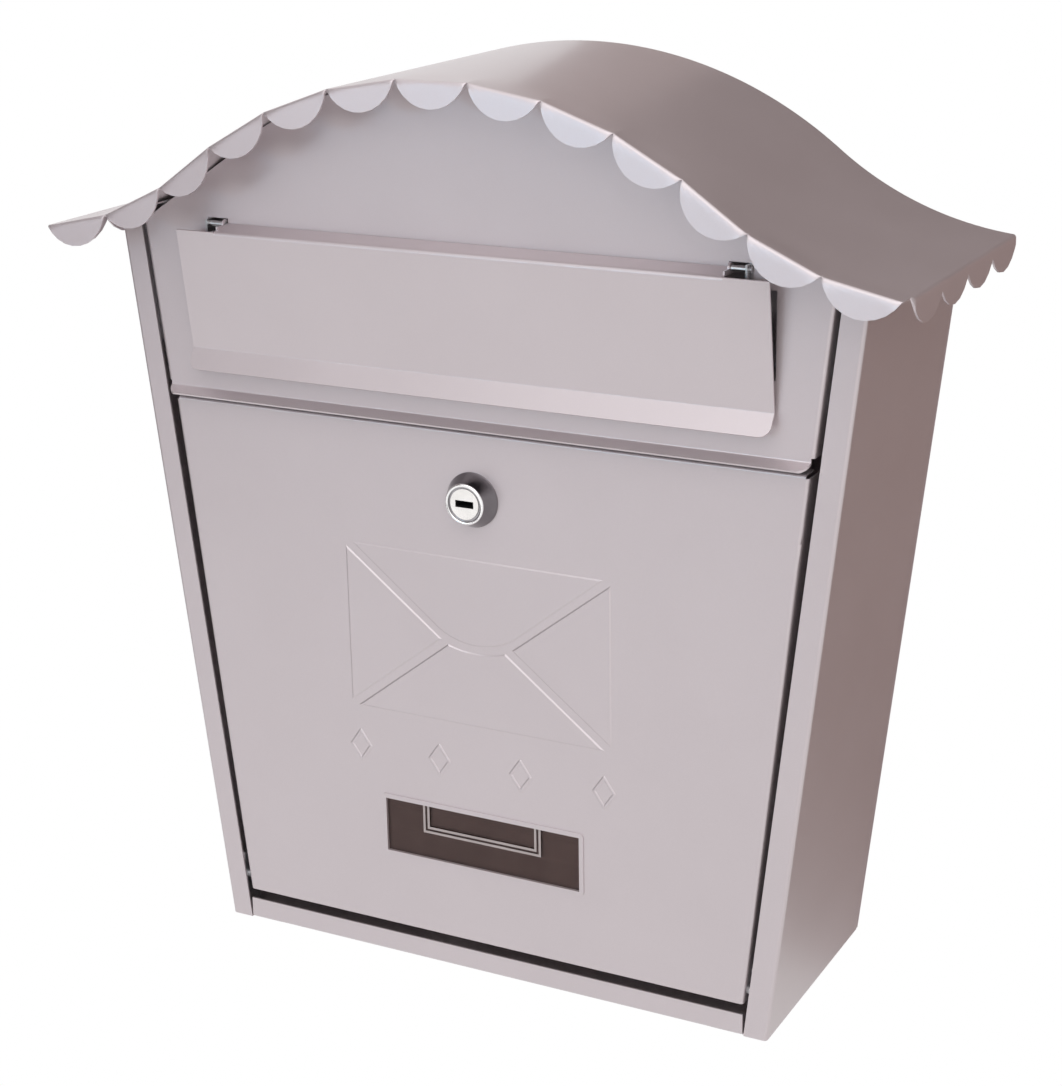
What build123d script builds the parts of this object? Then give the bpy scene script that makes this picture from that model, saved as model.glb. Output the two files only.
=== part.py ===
from build123d import *
import math
import os

# Wall mounted mailbox in painted sheet steel, in millimetres.
# Working frame: X to the right, Y backwards from the face of the front strips, Z up from the bottom edge.
# On export the origin moves to the centre of the wall holes, in the plane of the wall.

# Box
SHEET = 0.8
BEND = 1.6
BASE_HALF_WIDTH = 127.0
TAPER = 0.1112
DEPTH = 106.0
SIDE_HEIGHT = 310.0
STRIP_WIDTH = 9.9
REAR_FLANGE = 12.0
FLOOR_LIP_HEIGHT = 9.4
FIT_GAP = 0.2
EDGE_GAP = 0.5

# Wall holes
HOLE_SPACING_X = 150.0
HOLE_SPACING_Z = 210.0
HOLE_CENTRE_HEIGHT = 165.0
HOLE_RADIUS = 3.5

# Roof
ROOF_SIDE_OVERHANG = 20.1
ROOF_SEAT_GAP = 0.8
ROOF_EAVE_RADIUS = 138.0
ROOF_TURN_ANGLE = 38.0
ROOF_TIP_ANGLE = 5.4
ROOF_OVERHANG = 25.4
FRONT_TABS = 13
FRONT_TAB_DROP = 10.3
SIDE_TABS = 4
SIDE_TAB_BAND = 4.6
SIDE_TAB_DROP = 7.0
SIDE_TAB_PITCH = 30.0
ROOF_BRACKET_REACH = 20.0
ROOF_BRACKET_LENGTH = 80.0

# Upper front panel
PANEL_PROUD = 1.0
PANEL_SIDE_GAP = 2.2
PANEL_FLANGE = 14.0
PANEL_DROP = 69.0
SHOULDER_START = 12.0
SHOULDER_DEPTH = 2.5
SHOULDER_INSET = 20.5
SHOULDER_RISE = 4.0
CORNER_INSET = 10.5
CORNER_FALL = 3.0
DRIP_REACH = 4.6
DRIP_FALL = 2.4
DRIP_INSET = 1.2
DRIP_CORNER = 5.0
SLOT_MARGIN = 18.6
SLOT_HEIGHT = 33.0
SLOT_TOP_DROP = 6.9
BRACKET_HEIGHT = 50.0

# Letter flap
FLAP_PIN_RADIUS = 1.25
FLAP_PIN_CLEARANCE = 0.05
FLAP_AXIS_PROUD = 0.9
FLAP_AXIS_DROP = 0.1
FLAP_AXIS_ROOM = 2.2
FLAP_OVERLAP = 0.5
FLAP_NOTCH = 17.3
FLAP_PIN_REACH = 8.0
FLAP_REAR_GAP = 0.45
FLAP_RETURN_FALL = 2.0
FLAP_TOP_REACH = 9.0
FLAP_FOLD_REACH = 2.2
FLAP_DROP = 51.4
LUG_RADIUS = 2.0
LUG_LENGTH = 6.0
FLAP_LIP_REACH = 5.0
FLAP_LIP_FALL = 8.0
FLAP_CORNER = 4.5
EAR_FOOT = 10.0
EAR_HEIGHT = 9.0
EAR_NOSE = 2.6
EAR_NOSE_DROP = 3.2

# Door
DOOR_LOW = 14.0
DOOR_TOP_GAP = 5.0
DOOR_GAP_LOW = 1.8
DOOR_GAP_HIGH = 3.4
DOOR_FLANGE = 12.0
DOOR_TOP_FLANGE = 8.0
HINGE_Y = 5.0
HINGE_HEIGHT = 18.5
PIN_RADIUS = 2.0
PIN_CLEARANCE = 0.05
PIN_INSIDE = 3.0
HINGE_EAR_GAP = 2.6
HINGE_EAR_THICKNESS = 1.2
HINGE_EAR_TOP = 30.0
HINGE_EAR_DEPTH = 11.0

# Pressed marks on the door
MARK_RADIUS = 0.9
MARK_RISE = 0.35
MARK_TAPER = 60.0
ENVELOPE_HALF_WIDTH = 59.7
ENVELOPE_DROP = 25.1
ENVELOPE_HEIGHT = 71.5
ENVELOPE_CORNER_GAP = 3.0
ENVELOPE_SIDE_GAP = 1.8
ENVELOPE_SIDE_TIP = 16.0
ENVELOPE_TIP_DROP = 36.5
ENVELOPE_TIP_HALF_WIDTH = 17.0
ENVELOPE_TIP_RISE = 5.0
ENVELOPE_TIP_GAP = 3.1
ENVELOPE_POCKET_HALF_WIDTH = 13.0
LOZENGE_SPACING = 37.5
LOZENGE_DROP = 18.0
LOZENGE_HALF_WIDTH = 4.5
LOZENGE_HALF_HEIGHT = 6.5

# Name window
WINDOW_HALF_WIDTH = 45.0
WINDOW_DROP = 22.0
WINDOW_HEIGHT = 24.0
WINDOW_RIM = 2.0
WINDOW_RIM_RISE = 0.5
PANE_MARGIN = 4.0
PANE_THICKNESS = 1.2
POCKET_HALF_WIDTH = 27.5
POCKET_DROP = 12.5
POCKET_WALL = 3.0
POCKET_GROOVE = 1.0
CLIP_WIDTH = 8.0
CLIP_SPACING = 60.0
CLIP_GRIP = 3.0
CLIP_FOOT = 6.0

# Cam lock
LOCK_DROP = 27.4
COLLAR_BASE_RADIUS = 11.25
COLLAR_FACE_RADIUS = 8.35
COLLAR_LENGTH = 7.5
BARREL_RADIUS = 7.6
BARREL_LENGTH = 17.0
PLUG_RADIUS = 6.25
PLUG_RECESS = 0.6
PLUG_CLEARANCE = 0.06
KEYWAY_WIDTH = 8.0
KEYWAY_HEIGHT = 2.8
KEYWAY_DEPTH = 9.0
LOCK_HOLE_CLEARANCE = 0.1
WASHER_RADIUS = 12.5
WASHER_THICKNESS = 0.8
NUT_FLATS = 20.0
NUT_THICKNESS = 4.0
CAM_GAP = 1.0
CAM_THICKNESS = 2.0
CAM_WIDTH = 12.0
CAM_LENGTH = 40.0
CAM_SCREW_RADIUS = 1.95
CAM_SCREW_DEPTH = 8.0
CAM_SCREW_HEAD_RADIUS = 3.6
CAM_SCREW_HEAD = 2.4
SCREW_CLEARANCE = 0.05
KEEPER_HALF_WIDTH = 24.0
KEEPER_FOOT = 12.0
KEEPER_OVERLAP = 6.0
KEEPER_TOP_GAP = 4.5
KEEPER_CAM_GAP = 1.0

FAR = 600.0


# Shared geometry

def side_at(height):
    """Outer half width of the tapering box at a height."""
    return BASE_HALF_WIDTH + TAPER * height


def strip_inner_at(height):
    """Half width between the inner edges of the front strips at a height."""
    return side_at(height) - STRIP_WIDTH


def sheet_face(points, bend=BEND, thickness=SHEET):
    """Section of a bent sheet: the points lie on one face, and the sheet lies to the right of their order."""
    count = len(points)
    directions = []
    for start, end in zip(points, points[1:]):
        length = math.hypot(end[0] - start[0], end[1] - start[1])
        directions.append(((end[0] - start[0]) / length, (end[1] - start[1]) / length))
    inner = []
    radii_face = []
    radii_back = []
    for index in range(count):
        before = directions[max(index - 1, 0)]
        after = directions[min(index, count - 2)]
        normal_x = before[1] + after[1]
        normal_y = -before[0] - after[0]
        scale = thickness / (1 + before[0] * after[0] + before[1] * after[1])
        inner.append((points[index][0] + normal_x * scale, points[index][1] + normal_y * scale))
        turns_right = before[0] * after[1] - before[1] * after[0] < 0
        if 0 < index < count - 1:
            radii_face.append(bend if turns_right else bend - thickness)
            radii_back.append(bend - thickness if turns_right else bend)
    if count == 2:
        face_line = Line(*points)
        back_line = Line(*inner)
    else:
        face_line = FilletPolyline(*points, radius=radii_face)
        back_line = FilletPolyline(*inner, radius=radii_back)
    ends = [Line(points[0], inner[0]), Line(points[-1], inner[-1])]
    return make_face([*face_line.edges(), *back_line.edges(), *ends])


def leaning(face, low, high, lean):
    """A plan section drawn at the bottom edge, carried up between two heights while it leans outwards."""
    start = Pos(lean * low, 0, low) * face
    rise = high - low
    return Part() + [Solid.extrude(part, Vector(lean * rise, 0, rise)) for part in start.faces()]


def across(face, low, high):
    """A section drawn as (Y, Z), carried along X between two places."""
    plane = Plane(origin=(low, 0, 0), x_dir=(0, 1, 0), z_dir=(1, 0, 0))
    return extrude(plane * face, amount=high - low)


def upright(face, front, back):
    """An outline drawn as (X, Z), carried along Y from front to back."""
    plane = Plane(origin=(0, back, 0), x_dir=(1, 0, 0), z_dir=(0, -1, 0))
    return extrude(plane * face, amount=back - front)


def both_sides(part):
    """A half and its mirror image in one piece."""
    return part + mirror(part, about=Plane.YZ)


def block(x_low, x_high, y_low, y_high, z_low, z_high):
    """A box between two corners."""
    size = Box(x_high - x_low, y_high - y_low, z_high - z_low, align=(Align.MIN, Align.MIN, Align.MIN))
    return Pos(x_low, y_low, z_low) * size


def rod_along_y(radius, front, back, x, z):
    """A round bar along Y."""
    bar = Cylinder(radius, back - front, align=(Align.CENTER, Align.CENTER, Align.MIN))
    return Pos(x, back, z) * Rot(90, 0, 0) * bar


def rod_along_x(radius, low, high, y, z):
    """A round bar along X."""
    bar = Cylinder(radius, high - low, align=(Align.CENTER, Align.CENTER, Align.MIN))
    return Pos(low, y, z) * Rot(0, 90, 0) * bar


# Roof line: a crown arc that runs into an eave arc of the opposite curvature on each side.
# The tips stand out past the sides, and the underside sits just over the sides' top edges.

TURN = math.radians(ROOF_TURN_ANGLE)
TIP = math.radians(ROOF_TIP_ANGLE)
SIDE_TOP_HALF = side_at(SIDE_HEIGHT)
ROOF_HALF_WIDTH = SIDE_TOP_HALF + ROOF_SIDE_OVERHANG
EAVE_X = ROOF_HALF_WIDTH + ROOF_EAVE_RADIUS * math.sin(TIP)
ROOF_CROWN_RADIUS = EAVE_X / math.sin(TURN) - ROOF_EAVE_RADIUS
SEAT_REACH = EAVE_X - SIDE_TOP_HALF + SHEET
EAVE_CENTRE = SIDE_HEIGHT + ROOF_SEAT_GAP + math.sqrt((ROOF_EAVE_RADIUS + SHEET) ** 2 - SEAT_REACH ** 2)
CROWN_CENTRE = EAVE_CENTRE - (ROOF_CROWN_RADIUS + ROOF_EAVE_RADIUS) * math.cos(TURN)
ROOF_CREST = CROWN_CENTRE + ROOF_CROWN_RADIUS
CROWN_RUN = ROOF_CROWN_RADIUS * TURN
EAVE_RUN = ROOF_EAVE_RADIUS * (TURN - TIP)
HALF_RUN = CROWN_RUN + EAVE_RUN


def roof_point(run, depth=0.0):
    """A point at a distance along the roof line from the crest, at a depth under its upper face."""
    if run <= CROWN_RUN:
        angle = run / ROOF_CROWN_RADIUS
        radius = ROOF_CROWN_RADIUS - depth
        return (radius * math.sin(angle), CROWN_CENTRE + radius * math.cos(angle))
    angle = TURN - (run - CROWN_RUN) / ROOF_EAVE_RADIUS
    radius = ROOF_EAVE_RADIUS + depth
    return (EAVE_X - radius * math.sin(angle), EAVE_CENTRE - radius * math.cos(angle))


def mirrored(point):
    return (-point[0], point[1])


def roof_arcs(depth):
    """The roof line from the left tip to the right tip."""
    turn = roof_point(CROWN_RUN, depth)
    eave = roof_point(CROWN_RUN + EAVE_RUN / 2, depth)
    tip = roof_point(HALF_RUN, depth)
    return [
        ThreePointArc(mirrored(tip), mirrored(eave), mirrored(turn)),
        ThreePointArc(mirrored(turn), roof_point(0, depth), turn),
        ThreePointArc(turn, eave, tip),
    ]


def under_roof(depth):
    """Everything below the roof line at a depth, as an outline."""
    tip = roof_point(HALF_RUN, depth)
    low = -FAR
    corner = (tip[0], low)
    sides = [Line(tip, corner), Line(corner, mirrored(corner)), Line(mirrored(corner), mirrored(tip))]
    return make_face([*roof_arcs(depth), *sides])


def roof_band(upper, lower):
    """The outline between two depths under the roof's upper face."""
    high_tip = roof_point(HALF_RUN, upper)
    low_tip = roof_point(HALF_RUN, lower)
    ends = [Line(high_tip, low_tip), Line(mirrored(high_tip), mirrored(low_tip))]
    return make_face([*roof_arcs(upper), *roof_arcs(lower), *ends])


def tab_disc(start, end, drop):
    """The round outline of a scallop that hangs from the line between two notches."""
    chord = math.hypot(end[0] - start[0], end[1] - start[1])
    radius = (chord * chord / 4 + drop * drop) / (2 * drop)
    rise = radius - drop
    normal = ((start[1] - end[1]) / chord, (end[0] - start[0]) / chord)
    centre_x = (start[0] + end[0]) / 2 + normal[0] * rise
    centre_z = (start[1] + end[1]) / 2 + normal[1] * rise
    return Pos(centre_x, centre_z) * Circle(radius)


def roof_sheet():
    """Roof, bent from one sheet with scalloped tabs turned down along the front and both sides."""
    sheet = upright(roof_band(0, SHEET), -ROOF_OVERHANG, DEPTH)
    tab_run = 2 * HALF_RUN / FRONT_TABS
    below = under_roof(0)
    for index in range(FRONT_TABS):
        start_run = index * tab_run - HALF_RUN
        ends = []
        for run in (start_run, start_run + tab_run):
            point = roof_point(min(abs(run), HALF_RUN))
            ends.append(point if run > 0 else mirrored(point))
        tab = tab_disc(ends[0], ends[1], FRONT_TAB_DROP) & below
        sheet += upright(tab, -ROOF_OVERHANG, SHEET - ROOF_OVERHANG)
    tip_x, tip_z = roof_point(HALF_RUN)
    tip_low = roof_point(HALF_RUN, SHEET)[1]
    band_low = tip_low - SIDE_TAB_BAND
    side_tabs = block(tip_x - SHEET, tip_x, DEPTH - SIDE_TABS * SIDE_TAB_PITCH, DEPTH, band_low, tip_z)
    for index in range(SIDE_TABS):
        back = DEPTH - index * SIDE_TAB_PITCH
        disc = tab_disc((back - SIDE_TAB_PITCH, band_low), (back, band_low), SIDE_TAB_DROP)
        lower_half = Pos(0, band_low - FAR) * Rectangle(2 * FAR, 2 * FAR)
        side_tabs += across(disc & lower_half, tip_x - SHEET, tip_x)
    return sheet + both_sides(side_tabs)


# Box panels

def side_panel():
    """Right side, folded at the front into the narrow strip and at the back into a flange."""
    back = DEPTH - SHEET
    points = [
        (BASE_HALF_WIDTH - REAR_FLANGE, back),
        (BASE_HALF_WIDTH, back),
        (BASE_HALF_WIDTH, 0),
        (BASE_HALF_WIDTH - STRIP_WIDTH, 0),
    ]
    return leaning(sheet_face(points), 0, SIDE_HEIGHT, TAPER)


def floor_panel():
    """Floor, turned up into a lip between the front strips and into a flange at the back."""
    back = DEPTH - SHEET
    lip_half = BASE_HALF_WIDTH - STRIP_WIDTH - EDGE_GAP
    flange_half = BASE_HALF_WIDTH - REAR_FLANGE - EDGE_GAP
    section = sheet_face([(back, REAR_FLANGE), (back, 0), (0, 0), (0, FLOOR_LIP_HEIGHT)])
    rear_clear = back - SHEET - FIT_GAP
    trough = across(section, -lip_half, lip_half)
    trough -= both_sides(block(flange_half, FAR, rear_clear, DEPTH, 0, FAR))
    wide = BASE_HALF_WIDTH - SHEET - FIT_GAP
    wing = block(flange_half - REAR_FLANGE, wide, SHEET + FIT_GAP, rear_clear, 0, SHEET)
    return trough + both_sides(wing)


def back_panel():
    """Flat back, cut to the taper and to the roof line, with the wall holes."""
    edge = BASE_HALF_WIDTH - FIT_GAP
    top_edge = side_at(SIDE_HEIGHT) - FIT_GAP
    high = ROOF_CREST
    slant = Polygon((-edge, 0), (edge, 0), (top_edge, SIDE_HEIGHT), (top_edge, high), (-top_edge, high),
                    (-top_edge, SIDE_HEIGHT), align=None)
    panel = upright(slant & under_roof(SHEET + EDGE_GAP), DEPTH - SHEET, DEPTH)
    for x in (-HOLE_SPACING_X / 2, HOLE_SPACING_X / 2):
        for rise in (-HOLE_SPACING_Z / 2, HOLE_SPACING_Z / 2):
            panel -= rod_along_y(HOLE_RADIUS, DEPTH - 2 * SHEET, DEPTH + SHEET, x, HOLE_CENTRE_HEIGHT + rise)
    return panel


PANEL_FRONT = -PANEL_PROUD
PANEL_BACK = PANEL_FRONT + SHEET
PANEL_BASE_HALF = BASE_HALF_WIDTH - STRIP_WIDTH - PANEL_SIDE_GAP
PANEL_BEND_HEIGHT = SIDE_HEIGHT - PANEL_DROP
FLAP_AXIS_HEIGHT = SIDE_HEIGHT - FLAP_AXIS_DROP
FLAP_AXIS_Y = PANEL_FRONT - FLAP_AXIS_PROUD
SLOT_HIGH = FLAP_AXIS_HEIGHT - SLOT_TOP_DROP
SLOT_LOW = SLOT_HIGH - SLOT_HEIGHT
SLOT_HALF_WIDTH = PANEL_BASE_HALF + TAPER * SLOT_LOW - SLOT_MARGIN
FLAP_RETURN_HALF_WIDTH = SLOT_HALF_WIDTH - FLAP_NOTCH
LUG_INNER = FLAP_RETURN_HALF_WIDTH - SHEET
FLAP_PIN_END = FLAP_RETURN_HALF_WIDTH + FLAP_PIN_REACH
HINGE_HOLE_HIGH = FLAP_AXIS_HEIGHT + FLAP_AXIS_ROOM


def upper_front_panel():
    """Fixed panel over the door, with side flanges, a drip lip and the letter slot.
    The slot's ends are cut higher, where the flap's lugs and pins turn."""
    plan = sheet_face([(PANEL_BASE_HALF, PANEL_FLANGE), (PANEL_BASE_HALF, PANEL_FRONT),
                       (-PANEL_BASE_HALF / 2, PANEL_FRONT)])
    low = PANEL_BEND_HEIGHT + BEND
    half = leaning(plan, low, ROOF_CREST, TAPER) & block(0, FAR, -FAR, FAR, 0, FAR)
    inner = roof_point(CROWN_RUN - SHOULDER_START, SHOULDER_DEPTH)
    outer = (SIDE_TOP_HALF - SHOULDER_INSET, SIDE_HEIGHT + SHOULDER_RISE)
    corner = (SIDE_TOP_HALF - CORNER_INSET, SIDE_HEIGHT - CORNER_FALL)
    shoulder = Polygon(inner, outer, corner, (FAR, corner[1]), (FAR, FAR), (inner[0], FAR), align=None)
    outline = under_roof(SHEET + EDGE_GAP) - shoulder
    panel = both_sides(half & upright(outline, -FAR, FAR))
    lip_half = PANEL_BASE_HALF + TAPER * PANEL_BEND_HEIGHT - DRIP_INSET
    lip_front = PANEL_FRONT - DRIP_REACH
    section = sheet_face([(lip_front, PANEL_BEND_HEIGHT - DRIP_FALL), (PANEL_FRONT, PANEL_BEND_HEIGHT),
                          (PANEL_FRONT, low + BEND)])
    rounded = RectangleRounded(2 * lip_half, 2 * DEPTH, DRIP_CORNER)
    plan_cut = extrude(Pos(0, lip_front + DEPTH) * rounded, amount=FAR)
    panel += across(section, -lip_half, lip_half) & plan_cut
    slot = block(-SLOT_HALF_WIDTH, SLOT_HALF_WIDTH, -FAR, PANEL_FLANGE / 2, SLOT_LOW, SLOT_HIGH)
    slot_end = block(LUG_INNER - EDGE_GAP, FLAP_PIN_END + FIT_GAP, -FAR, PANEL_FLANGE / 2,
                     SLOT_LOW, HINGE_HOLE_HIGH)
    return panel - slot - both_sides(slot_end)


def panel_bracket():
    """Right strip that ties the upper panel's flange to the side panel."""
    inner = PANEL_BASE_HALF - PANEL_FLANGE
    outer = BASE_HALF_WIDTH - SHEET
    strip = Polygon((inner, PANEL_FLANGE), (outer, PANEL_FLANGE), (outer, PANEL_FLANGE + SHEET),
                    (inner, PANEL_FLANGE + SHEET), align=None)
    low = PANEL_BEND_HEIGHT + PANEL_FLANGE
    return leaning(strip, low, low + BRACKET_HEIGHT, TAPER)


def roof_bracket():
    """Right angle that carries the roof on the side panel."""
    front = 2 * PANEL_FLANGE
    back = front + ROOF_BRACKET_LENGTH - PANEL_FLANGE
    outer = BASE_HALF_WIDTH - SHEET
    leg_plan = Polygon((outer - SHEET, front), (outer, front), (outer, back), (outer - SHEET, back),
                       align=None)
    leg = leaning(leg_plan, SIDE_HEIGHT - ROOF_BRACKET_REACH, SIDE_HEIGHT, TAPER)
    outer_x = side_at(SIDE_HEIGHT - 4 * SHEET) - SHEET
    window = Pos(outer_x - ROOF_BRACKET_REACH / 2, ROOF_CREST / 2) * Rectangle(ROOF_BRACKET_REACH, ROOF_CREST)
    saddle = upright(roof_band(SHEET, 2 * SHEET) & window, front, back)
    tie = upright((under_roof(SHEET) & (Pos(outer_x - SHEET / 2, SIDE_HEIGHT) * Rectangle(SHEET, 4 * SHEET))),
                  front, back)
    return leg + saddle + tie


# Letter flap and its hinge

FLAP_HALF_WIDTH = SLOT_HALF_WIDTH + FLAP_OVERLAP
FLAP_TOP_Y = PANEL_FRONT - FLAP_TOP_REACH
FLAP_FOLD_Y = PANEL_FRONT - FLAP_FOLD_REACH
FLAP_FOLD_HEIGHT = FLAP_AXIS_HEIGHT - FLAP_DROP


def letter_flap():
    """Flap with a flared lip below and a return that slopes up to the panel, with a lug at each end."""
    lip_edge = (FLAP_FOLD_Y - FLAP_LIP_REACH, FLAP_FOLD_HEIGHT - FLAP_LIP_FALL)
    fold = (FLAP_FOLD_Y, FLAP_FOLD_HEIGHT)
    top = (FLAP_TOP_Y, FLAP_AXIS_HEIGHT - FLAP_RETURN_FALL)
    rear = (PANEL_FRONT - FLAP_REAR_GAP, FLAP_AXIS_HEIGHT + SHEET / 2)
    plate = across(sheet_face([lip_edge, fold, top]), -FLAP_HALF_WIDTH, FLAP_HALF_WIDTH)
    low_edges = plate.edges().filter_by(lambda edge: edge.length < 2 * SHEET).group_by(Axis.Z)[0]
    plate = fillet(low_edges, FLAP_CORNER)
    relief = across(Pos(top[0], top[1]) * Rectangle(4 * BEND, 4 * BEND),
                    -FLAP_RETURN_HALF_WIDTH, FLAP_RETURN_HALF_WIDTH)
    middle = ((fold[0] + top[0]) / 2, (fold[1] + top[1]) / 2)
    hook = sheet_face([middle, top, rear])
    flap = (plate - relief) + across(hook, -FLAP_RETURN_HALF_WIDTH, FLAP_RETURN_HALF_WIDTH)
    arm = Pos(-LUG_LENGTH / 2, -LUG_RADIUS / 2) * Rectangle(LUG_LENGTH, LUG_RADIUS)
    lug = Pos(FLAP_AXIS_Y, FLAP_AXIS_HEIGHT) * (Circle(LUG_RADIUS) + arm)
    pin_hole = rod_along_x(FLAP_PIN_RADIUS + FLAP_PIN_CLEARANCE, LUG_INNER - FIT_GAP, FAR, FLAP_AXIS_Y,
                           FLAP_AXIS_HEIGHT)
    return flap + both_sides(across(lug, LUG_INNER, FLAP_RETURN_HALF_WIDTH)) - both_sides(pin_hole)


def flap_hinge_pins():
    """Two pins in the flap's lugs that turn in the ears."""
    pin = rod_along_x(FLAP_PIN_RADIUS, LUG_INNER, FLAP_PIN_END, FLAP_AXIS_Y, FLAP_AXIS_HEIGHT)
    return [pin, mirror(pin, about=Plane.YZ)]


def flap_ear():
    """Right ear that holds a flap pin through the end of the slot, with its foot behind the upper panel."""
    inner = FLAP_PIN_END - 2 * SHEET
    back = PANEL_BACK + SHEET
    nose = block(inner, inner + SHEET, FLAP_AXIS_Y - EAR_NOSE, back, FLAP_AXIS_HEIGHT - EAR_NOSE_DROP,
                 HINGE_HOLE_HIGH - FIT_GAP)
    foot = block(inner, inner + EAR_FOOT, PANEL_BACK, back, FLAP_AXIS_HEIGHT - EAR_HEIGHT / 2,
                 FLAP_AXIS_HEIGHT + EAR_HEIGHT / 2)
    hole = rod_along_x(FLAP_PIN_RADIUS + FLAP_PIN_CLEARANCE, inner - SHEET, FAR, FLAP_AXIS_Y,
                       FLAP_AXIS_HEIGHT)
    return nose + foot - hole


# Door

DOOR_HIGH = PANEL_BEND_HEIGHT - DOOR_TOP_GAP
DOOR_LOW_HALF = strip_inner_at(DOOR_LOW) - DOOR_GAP_LOW
DOOR_HIGH_HALF = strip_inner_at(DOOR_HIGH) - DOOR_GAP_HIGH
DOOR_LEAN = (DOOR_HIGH_HALF - DOOR_LOW_HALF) / (DOOR_HIGH - DOOR_LOW)
DOOR_BASE_HALF = DOOR_LOW_HALF - DOOR_LEAN * DOOR_LOW
DOOR_HINGE_HALF = DOOR_BASE_HALF + DOOR_LEAN * HINGE_HEIGHT
HINGE_EAR_X = DOOR_HINGE_HALF + HINGE_EAR_GAP
LOCK_HEIGHT = DOOR_HIGH - LOCK_DROP
ENVELOPE_HIGH = LOCK_HEIGHT - ENVELOPE_DROP
ENVELOPE_LOW = ENVELOPE_HIGH - ENVELOPE_HEIGHT
ENVELOPE_TIP_HEIGHT = ENVELOPE_HIGH - ENVELOPE_TIP_DROP
LOZENGE_CENTRE = ENVELOPE_LOW - LOZENGE_DROP
WINDOW_HIGH = LOZENGE_CENTRE - WINDOW_DROP
WINDOW_LOW = WINDOW_HIGH - WINDOW_HEIGHT
WINDOW_MIDDLE = (WINDOW_LOW + WINDOW_HIGH) / 2
POCKET_LOW = WINDOW_HIGH - POCKET_DROP


def ridge(path):
    """A pressed line with a round top and round ends, along a line on the door's face."""
    section = Plane(origin=path @ 0, z_dir=path % 0) * Circle(MARK_RADIUS)
    bar = sweep(section, path) + Pos(path @ 0) * Sphere(MARK_RADIUS) + Pos(path @ 1) * Sphere(MARK_RADIUS)
    return bar & block(-FAR, FAR, -FAR, SHEET / 2, -FAR, FAR)


def pressed(outline):
    """A flat pressed a little out of the door's face, with sloping edges."""
    face = Plane(origin=(0, 0, 0), x_dir=(1, 0, 0), z_dir=(0, -1, 0))
    return extrude(face * outline, amount=MARK_RISE, taper=MARK_TAPER)


def envelope_plates():
    """An envelope in four pressed flats: the flap with a round tip, two sides, and the pocket below."""
    half = ENVELOPE_HALF_WIDTH
    corner = half - ENVELOPE_CORNER_GAP
    middle = (ENVELOPE_HIGH + ENVELOPE_LOW) / 2
    shoulder = (ENVELOPE_TIP_HALF_WIDTH, ENVELOPE_TIP_HEIGHT + ENVELOPE_TIP_RISE)
    flap = make_face([
        Line((-corner, ENVELOPE_HIGH), (corner, ENVELOPE_HIGH)),
        Line((corner, ENVELOPE_HIGH), shoulder),
        ThreePointArc(shoulder, (0, ENVELOPE_TIP_HEIGHT), mirrored(shoulder)),
        Line(mirrored(shoulder), (-corner, ENVELOPE_HIGH)),
    ])
    side_low = ENVELOPE_LOW + ENVELOPE_SIDE_GAP
    side_high = ENVELOPE_HIGH - ENVELOPE_SIDE_GAP
    side = Polygon((half, side_low), (half, side_high), (ENVELOPE_SIDE_TIP, middle), align=None)
    slope = (middle - side_low) / (half - ENVELOPE_SIDE_TIP)
    mouth_x = ENVELOPE_POCKET_HALF_WIDTH
    mouth = (mouth_x, ENVELOPE_LOW + slope * (corner - mouth_x))
    pocket = make_face([
        Line((-corner, ENVELOPE_LOW), (corner, ENVELOPE_LOW)),
        Line((corner, ENVELOPE_LOW), mouth),
        ThreePointArc(mouth, (0, ENVELOPE_TIP_HEIGHT - ENVELOPE_TIP_GAP), mirrored(mouth)),
        Line(mirrored(mouth), (-corner, ENVELOPE_LOW)),
    ])
    right = pressed(side)
    return [pressed(flap), right, mirror(right, about=Plane.YZ), pressed(pocket)]


def lozenges():
    """Four plain lozenge outlines in a row under the envelope."""
    y = MARK_RADIUS - MARK_RISE
    lines = []
    for index in range(4):
        x = (index - 1.5) * LOZENGE_SPACING
        for side in (-1, 1):
            corner = (x + side * LOZENGE_HALF_WIDTH, y, LOZENGE_CENTRE)
            for end in (-1, 1):
                lines.append(Line((x, y, LOZENGE_CENTRE + end * LOZENGE_HALF_HEIGHT), corner))
    return [ridge(line) for line in lines]


def door_panel():
    """Door, folded back at its sides and top, with pressed marks, the window opening and the lock hole."""
    plan = sheet_face([(DOOR_BASE_HALF, DOOR_FLANGE), (DOOR_BASE_HALF, 0), (-DOOR_BASE_HALF / 2, 0)])
    fold_start = DOOR_HIGH - BEND
    door = both_sides(leaning(plan, DOOR_LOW, fold_start, DOOR_LEAN) & block(0, FAR, -FAR, FAR, 0, FAR))
    fold = sheet_face([(0, fold_start - BEND), (0, DOOR_HIGH), (DOOR_TOP_FLANGE, DOOR_HIGH)])
    fold_half = DOOR_BASE_HALF + DOOR_LEAN * fold_start - BEND
    door += across(fold, -fold_half, fold_half)
    rim_width = 2 * (WINDOW_HALF_WIDTH + WINDOW_RIM)
    rim_height = WINDOW_HIGH - WINDOW_LOW + 2 * WINDOW_RIM
    rim = Pos(0, WINDOW_MIDDLE) * RectangleRounded(rim_width, rim_height, WINDOW_RIM)
    door += upright(rim, -WINDOW_RIM_RISE, SHEET / 2)
    for mark in envelope_plates() + lozenges():
        door += mark
    door -= block(-WINDOW_HALF_WIDTH, WINDOW_HALF_WIDTH, -FAR, DOOR_FLANGE, WINDOW_LOW, WINDOW_HIGH)
    door -= rod_along_y(BARREL_RADIUS + LOCK_HOLE_CLEARANCE, -DOOR_FLANGE, DOOR_FLANGE, 0, LOCK_HEIGHT)
    return door - rod_along_x(PIN_RADIUS + PIN_CLEARANCE, -FAR, FAR, HINGE_Y, HINGE_HEIGHT)


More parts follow.
